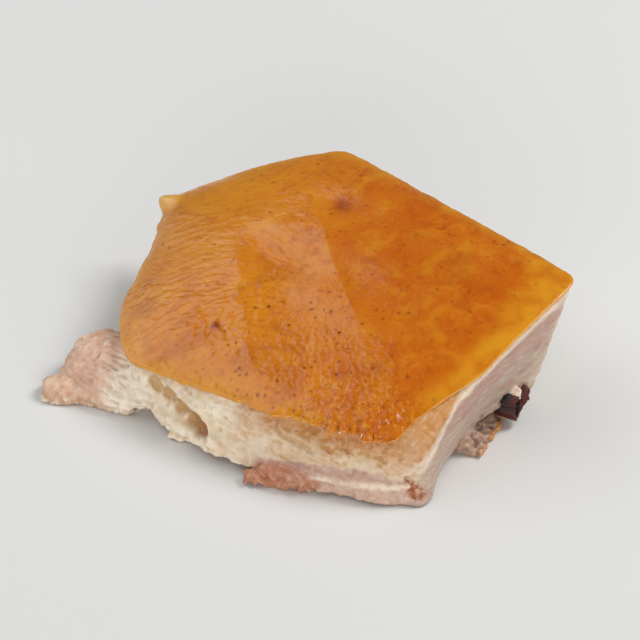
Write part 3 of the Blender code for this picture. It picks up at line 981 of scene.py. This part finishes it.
def bone_stub():
    """A rod with a rim and a sunk marrow hollow in its end."""
    bpy.ops.mesh.primitive_cylinder_add(
        vertices=RIB_POINTS, radius=RIB_RADIUS * MM, depth=RIB_LENGTH * MM, end_fill_type="NGON"
    )
    rib = bpy.context.object
    rib.name = rib.data.name = "rib_end"
    bpy.ops.object.mode_set(mode="EDIT")
    bpy.ops.mesh.select_mode(type="FACE")
    bpy.ops.mesh.select_all(action="DESELECT")
    bpy.ops.object.mode_set(mode="OBJECT")
    for face in rib.data.polygons:
        face.select = face.normal.z > 0.9
    bpy.ops.object.mode_set(mode="EDIT")
    bpy.ops.mesh.inset(thickness=RIM_WIDTH * MM)
    bpy.ops.mesh.inset(thickness=(RIB_RADIUS - RIB_MARROW - RIM_WIDTH - RIM_SLOPE) * MM)
    bpy.ops.mesh.inset(thickness=RIM_SLOPE * MM)
    bpy.ops.mesh.extrude_region_move(
        TRANSFORM_OT_translate={"value": (0.0, 0.0, -MARROW_DEPTH * MM)}
    )
    bpy.ops.mesh.inset(thickness=MARROW_SLOPE * MM)
    bpy.ops.mesh.select_all(action="SELECT")
    bpy.ops.mesh.subdivide(number_cuts=RIB_CUTS)
    bpy.ops.object.mode_set(mode="OBJECT")
    return rib


def make_rib():
    rib = bone_stub()
    places = coordinates(rib) / MM
    rough = 0.35 * crag(places, 1.2, 111) + 0.6 * ripple(places, 3.4, 113)
    reach = np.hypot(places[:, 0], places[:, 1])
    outward = places * SEEN_FROM_ABOVE / np.maximum(reach, 0.2)[:, None]
    places += outward * rough[:, None]
    places[:, 2] += 0.6 * ripple(places, 2.2, 115) + 0.25 * ripple(places, 0.9, 117)
    marrow = ease((RIB_MARROW + 0.5 - reach) / 0.5)
    bend = 0.9 * (places[:, 2] / RIB_LENGTH) ** 2
    turned = (places * RIB_SQUASH) @ RIB_TURN.T
    turned += RIB_END + np.array((-0.5 * RIB_LENGTH, 0.0, 0.0))
    turned[:, 1] += bend
    broken = ease(1.3 - np.linalg.norm((turned - BREAK_MIDDLE) / BREAK_HALF, axis=1))
    turned[:, 1] += BREAK_DEPTH * broken
    turned += 0.35 * crag(turned, 1.6, 112)[:, None] * np.array((1.0, -1.0, 0.4))
    set_coordinates(rib, to_frame(turned))
    flakes = [charred_flake(i, flake) for i, flake in enumerate(CHAR_FLAKES)]
    spare = np.zeros(sum(len(flake.data.vertices) for flake in flakes))
    marrow = np.concatenate([marrow, spare])
    hollow = np.concatenate([broken, spare])
    select_only(rib, *flakes)
    bpy.ops.object.join()
    places = from_frame(coordinates(rib))
    uneven = 1.2 * crag(places, 2.4, 119)
    end = ease((places[:, 0] + 1.3 + uneven) / 0.8)
    foot = ease((3.0 - places[:, 2] + uneven) / 0.8)
    red = np.maximum(end, foot) * (1.0 - ease(1.6 * hollow))
    add_values(rib, "rib_zones", np.stack([red, marrow], axis=1))
    shade(rib, 85.0)
    return rib


# Materials.
def new_material(name):
    made = bpy.data.materials.new(name)
    made.use_nodes = True
    tree = made.node_tree
    return made, tree, tree.nodes["Principled BSDF"]


def add(tree, kind, **settings):
    """A node of the kind, with its properties and unlinked inputs set by name."""
    made = tree.nodes.new(kind)
    for name, value in settings.items():
        label = name.replace("_", " ").title()
        if hasattr(made, name):
            setattr(made, name, value)
        else:
            made.inputs[label].default_value = value
    return made


def link(tree, source, target):
    tree.links.new(source, target)


def feed(tree, value, target):
    """Links a node's output to the input, or sets the input to a number or a colour."""
    if isinstance(value, bpy.types.NodeSocket):
        link(tree, value, target)
    elif isinstance(value, float):
        target.default_value = value
    else:
        target.default_value = (*value, 1.0)


def set_inputs(node, values):
    for name, value in values.items():
        node.inputs[name].default_value = value


def noise_of(tree, place, scale, detail=3.0, roughness=0.55, distortion=0.0):
    made = add(tree, "ShaderNodeTexNoise")
    sizes = {"Scale": scale, "Detail": detail, "Roughness": roughness, "Distortion": distortion}
    set_inputs(made, sizes)
    link(tree, place, made.inputs["Vector"])
    return made.outputs["Fac"]


def spread(tree, value, low, high, to_low=0.0, to_high=1.0):
    """The value from low to high spread evenly over another range."""
    made = add(tree, "ShaderNodeMapRange", clamp=True)
    set_inputs(made, {"From Min": low, "From Max": high, "To Min": to_low, "To Max": to_high})
    link(tree, value, made.inputs["Value"])
    return made.outputs["Result"]


def ramp(tree, value, low, high):
    """0 up to low, 1 from high on, and smooth between. High may be the lower one."""
    result = spread(tree, value, low, high)
    result.node.interpolation_type = "SMOOTHSTEP"
    return result


def times(tree, first, second):
    made = add(tree, "ShaderNodeMath", operation="MULTIPLY")
    feed(tree, first, made.inputs[0])
    feed(tree, second, made.inputs[1])
    return made.outputs[0]


def mixed(tree, first, second, share):
    """Two colours, or links to them, mixed by a share."""
    made = add(tree, "ShaderNodeMix", data_type="RGBA")
    feed(tree, share, made.inputs[0])
    feed(tree, first, made.inputs[6])
    feed(tree, second, made.inputs[7])
    return made.outputs[2]


def tinted(tree, color, *tints):
    """The colour with tints over it: each has a pattern, where it starts and ends, and a strength."""
    for tint, pattern, low, high, strength in tints:
        share = times(tree, ramp(tree, pattern, low, high), strength)
        color = mixed(tree, color, tint, share)
    return color


def zones_of(tree, name):
    """The colour of a layer of vertex values, and its three channels."""
    layer = add(tree, "ShaderNodeAttribute", attribute_name=name)
    split = add(tree, "ShaderNodeSeparateColor")
    link(tree, layer.outputs["Color"], split.inputs["Color"])
    return layer.outputs["Color"], split.outputs


def bumped(tree, heights, shader):
    """Chained bumps: each height is a link, a depth in metres and a strength."""
    last = None
    for height, depth, strength in heights:
        bump = add(tree, "ShaderNodeBump", distance=depth, strength=strength)
        link(tree, height, bump.inputs["Height"])
        if last is not None:
            link(tree, last, bump.inputs["Normal"])
        last = bump.outputs["Normal"]
    link(tree, last, shader.inputs["Normal"])
    return last


SKIN_AMBER = linear(212, 126, 20)
SKIN_GOLD = linear(220, 150, 26)
SKIN_DEEP = linear(194, 92, 2)
SKIN_RUST = linear(164, 68, 4)
SKIN_DARK = linear(104, 32, 5)
SKIN_EDGE = linear(228, 174, 92)
SKIN_GLOSS = {
    "IOR": 1.45, "Coat Weight": 0.2, "Coat Roughness": 0.06, "Coat IOR": 1.45,
    "Subsurface Weight": 0.06, "Subsurface Radius": (1.0, 0.45, 0.15), "Subsurface Scale": 0.0015,
}


def pore_dots(tree, place, scale, share, size):
    """Small round dots, of which only a share of the cells has one."""
    cells = add(tree, "ShaderNodeTexVoronoi", feature="F1", scale=scale, randomness=1.0)
    link(tree, place, cells.inputs["Vector"])
    pick = add(tree, "ShaderNodeSeparateColor")
    link(tree, cells.outputs["Color"], pick.inputs["Color"])
    dots = ramp(tree, cells.outputs["Distance"], size, 0.3 * size)
    return times(tree, dots, ramp(tree, pick.outputs[0], 1.0 - share, 1.0 - 0.5 * share))


def skin_material():
    made, tree, shader = new_material("glossy_roast_skin")
    place = add(tree, "ShaderNodeTexCoord").outputs["Object"]
    _, zones = zones_of(tree, "skin_zones")
    _, parts = zones_of(tree, "skin_parts")
    broad = noise_of(tree, place, 130.0, 4.0, 0.6, 0.4)
    patches = noise_of(tree, place, 75.0, 5.0, 0.65, 0.8)
    curdled = noise_of(tree, place, 1000.0, 3.0, 0.65, 0.3)
    mottle = noise_of(tree, place, 460.0, 4.0, 0.6, 0.6)
    grain = noise_of(tree, place, 1500.0, 4.0, 0.6)
    color = mixed(tree, SKIN_AMBER, SKIN_DEEP, zones[1])
    color = tinted(
        tree,
        color,
        (SKIN_GOLD, broad, 0.48, 0.68, 0.35),
        (SKIN_RUST, mottle, 0.50, 0.74, 0.50),
        (SKIN_RUST, patches, 0.50, 0.66, 0.42),
        (SKIN_GOLD, patches, 0.46, 0.32, 0.35),
        (SKIN_DARK, curdled, 0.54, 0.68, times(tree, parts[2], 0.5)),
        (SKIN_GOLD, curdled, 0.46, 0.34, times(tree, parts[2], 0.6)),
    )
    color = mixed(tree, color, SKIN_GOLD, times(tree, zones[0], 0.85))
    color = tinted(tree, color, (SKIN_GOLD, grain, 0.58, 0.74, 0.35))
    fine_dots = pore_dots(tree, place, 800.0, 0.50, 0.42)
    large_dots = pore_dots(tree, place, 430.0, 0.40, 0.30)
    patchy = ramp(tree, noise_of(tree, place, 210.0, 2.0), 0.40, 0.58)
    dots = times(tree, times(tree, fine_dots, patchy), spread(tree, parts[1], 0.2, 0.9))
    color = mixed(tree, color, SKIN_DARK, times(tree, dots, 0.65))
    color = mixed(tree, color, SKIN_DARK, times(tree, times(tree, large_dots, parts[1]), 0.75))
    color = mixed(tree, color, SKIN_RUST, times(tree, zones[2], 0.8))
    color = tinted(tree, color, (SKIN_DARK, zones[2], 0.6, 1.0, 0.45))
    color = mixed(tree, color, SKIN_EDGE, parts[0])
    link(tree, color, shader.inputs["Base Color"])

    link(tree, spread(tree, mottle, 0.35, 0.7, 0.08, 0.17), shader.inputs["Roughness"])
    set_inputs(shader, SKIN_GLOSS)
    stipple = noise_of(tree, place, 900.0, 2.0, 0.5, 0.5)
    stipple = times(tree, stipple, spread(tree, parts[2], 0.0, 1.0, 0.1, 1.0))
    normal = bumped(
        tree,
        ((mottle, 0.0003, 0.3), (stipple, 0.0006, 0.55), (grain, 0.0001, 0.35), (dots, 0.0002, -0.5)),
        shader,
    )
    link(tree, normal, shader.inputs["Coat Normal"])
    return made


FIBRE_PINK = linear(190, 140, 128)
FIBRE_WHITE = linear(240, 226, 204)
MOTTLE_TAN = linear(178, 128, 84)
GRAIN_BROWN = linear(150, 84, 54)
FLESH_GLOSS = {
    "IOR": 1.42, "Coat Weight": 0.25, "Coat Roughness": 0.25,
    "Subsurface Weight": 0.35, "Subsurface Radius": (1.0, 0.55, 0.35), "Subsurface Scale": 0.0015,
}


def flesh_material():
    made, tree, shader = new_material("pale_roast_flesh")
    place = add(tree, "ShaderNodeTexCoord").outputs["Object"]
    color, _ = zones_of(tree, "flesh_color")
    _, kinds = zones_of(tree, "flesh_kind")
    turn = add(tree, "ShaderNodeMapping")
    turn.inputs["Rotation"].default_value = (math.radians(-18.0), 0.0, 0.0)
    turn.inputs["Scale"].default_value = (1.0, 0.12, 1.0)
    link(tree, place, turn.inputs["Vector"])
    fibre = noise_of(tree, turn.outputs["Vector"], 1100.0, 4.0, 0.6)
    mottle = noise_of(tree, place, 600.0, 4.0, 0.6)
    grain = noise_of(tree, place, 1800.0, 3.0, 0.6)
    color = tinted(
        tree,
        color,
        (FIBRE_PINK, fibre, 0.5, 0.7, times(tree, kinds[0], 0.45)),
        (FIBRE_WHITE, fibre, 0.5, 0.3, 0.30),
        (MOTTLE_TAN, mottle, 0.55, 0.75, 0.35),
        (GRAIN_BROWN, grain, 0.60, 0.75, times(tree, kinds[2], 0.7)),
    )
    link(tree, color, shader.inputs["Base Color"])
    link(tree, spread(tree, mottle, 0.3, 0.7, 0.34, 0.58), shader.inputs["Roughness"])
    set_inputs(shader, FLESH_GLOSS)
    bumped(tree, ((fibre, 0.0005, 0.5), (mottle, 0.0004, 0.5), (grain, 0.0002, 0.45)), shader)
    return made


CHAR_BLACK = linear(12, 6, 5)
BONE_RED = linear(82, 24, 16)
BONE_TAN = linear(150, 92, 60)
MARROW_BLACK = linear(16, 8, 6)


def rib_material():
    made, tree, shader = new_material("charred_rib_bone")
    place = add(tree, "ShaderNodeTexCoord").outputs["Object"]
    _, zones = zones_of(tree, "rib_zones")
    mottle = noise_of(tree, place, 900.0, 4.0, 0.6)
    color = mixed(tree, CHAR_BLACK, BONE_RED, zones[0])
    color = tinted(tree, color, (BONE_TAN, mottle, 0.60, 0.76, 0.45))
    color = mixed(tree, color, MARROW_BLACK, zones[1])
    link(tree, color, shader.inputs["Base Color"])
    link(tree, spread(tree, mottle, 0.3, 0.7, 0.5, 0.75), shader.inputs["Roughness"])
    bumped(tree, ((mottle, 0.0004, 0.6),), shader)
    return made


TABLE_WHITE = linear(232, 232, 230)
TABLE_GREY = linear(226, 226, 225)


def stage_material():
    made, tree, shader = new_material("pale_table")
    place = add(tree, "ShaderNodeTexCoord").outputs["Object"]
    tint = mixed(tree, TABLE_WHITE, TABLE_GREY, noise_of(tree, place, 3.0))
    link(tree, tint, shader.inputs["Base Color"])
    shader.inputs["Roughness"].default_value = 0.55
    return made


def put_material(obj, made):
    obj.data.materials.clear()
    obj.data.materials.append(made)


# Stage, light and camera.
CAMERA_AZIMUTH, CAMERA_ELEVATION = 28.5, 35.0
CAMERA_DISTANCE, VIEW_WIDTH = 1.0, 0.1377
CAMERA_TARGET = Vector((0.0, 0.0, 0.015))
SENSOR_WIDTH = 36.0
FLOOR_SIZE, FLOOR_DROP = 6.0, 0.0002
ROOM_LIGHT = 0.14
Panel = namedtuple("Panel", "azimuth elevation distance width height power")
PANELS = {
    "overhead_panel": Panel(0.0, 90.0, 0.9, 1.5, 1.0, 6.5),
    "left_panel": Panel(-101.0, 20.0, 1.15, 0.8, 0.7, 1.3),
    "back_box": Panel(138.0, 50.0, 1.1, 0.5, 0.5, 7.5),
    "front_fill": Panel(26.0, 14.0, 1.4, 1.2, 0.5, 9.5),
    "right_fill": Panel(88.0, 22.0, 1.1, 0.8, 0.6, 1.0),
}
OVERHEAD_PLACE, OVERHEAD_TURN = (-0.84, -0.14, 0.92), -56.0


def direction(azimuth, elevation):
    """The way from the middle of the part towards a place round it, in degrees."""
    turn, rise = math.radians(azimuth), math.radians(elevation)
    level = math.cos(rise)
    return Vector((math.sin(turn) * level, -math.cos(turn) * level, math.sin(rise)))


def make_floor():
    bpy.ops.mesh.primitive_plane_add(size=FLOOR_SIZE, location=(0.0, 0.0, -FLOOR_DROP))
    floor = bpy.context.object
    floor.name = floor.data.name = "floor"
    put_material(floor, stage_material())


def area_light(name, panel):
    light = bpy.data.lights.new(name, "AREA")
    light.shape = "RECTANGLE"
    light.size, light.size_y = panel.width, panel.height
    light.energy = panel.power
    obj = bpy.data.objects.new(name, light)
    bpy.context.scene.collection.objects.link(obj)
    towards = direction(panel.azimuth, panel.elevation)
    obj.location = CAMERA_TARGET + panel.distance * towards
    obj.rotation_mode = "QUATERNION"
    obj.rotation_quaternion = towards.to_track_quat("Z", "Y")
    return obj


def make_lights():
    world = bpy.data.worlds.new("white_room")
    bpy.context.scene.world = world
    world.use_nodes = True
    back = world.node_tree.nodes["Background"]
    back.inputs["Color"].default_value = (1.0, 1.0, 1.0, 1.0)
    back.inputs["Strength"].default_value = ROOM_LIGHT
    lights = {name: area_light(name, panel) for name, panel in PANELS.items()}
    overhead = lights["overhead_panel"]
    overhead.location = OVERHEAD_PLACE
    turn = Matrix.Rotation(math.radians(OVERHEAD_TURN), 3, "Z")
    overhead.rotation_quaternion = turn.to_quaternion()


def make_camera():
    camera = bpy.data.objects.new("camera", bpy.data.cameras.new("camera"))
    bpy.context.scene.collection.objects.link(camera)
    back = direction(CAMERA_AZIMUTH, CAMERA_ELEVATION)
    camera.location = CAMERA_TARGET + CAMERA_DISTANCE * back
    camera.rotation_mode = "QUATERNION"
    camera.rotation_quaternion = (-back).to_track_quat("-Z", "Y")
    camera.data.sensor_width = SENSOR_WIDTH
    camera.data.lens = SENSOR_WIDTH * CAMERA_DISTANCE / VIEW_WIDTH
    bpy.context.scene.camera = camera


def main():
    skin = make_skin()
    flesh = make_flesh()
    rib = make_rib()
    put_material(skin, skin_material())
    put_material(flesh, flesh_material())
    put_material(rib, rib_material())
    for piece in (skin, flesh, rib):
        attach(piece, "root")
    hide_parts("roast_portion")
    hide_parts("roast_portion")
    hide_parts("rib_bone")
    make_floor()
    make_lights()
    make_camera()
    bpy.context.scene.view_settings.view_transform = "Standard"
    for piece in (skin, flesh, rib):
        print("PIECE", piece.name, sum(len(face.vertices) - 2 for face in piece.data.polygons))


main()
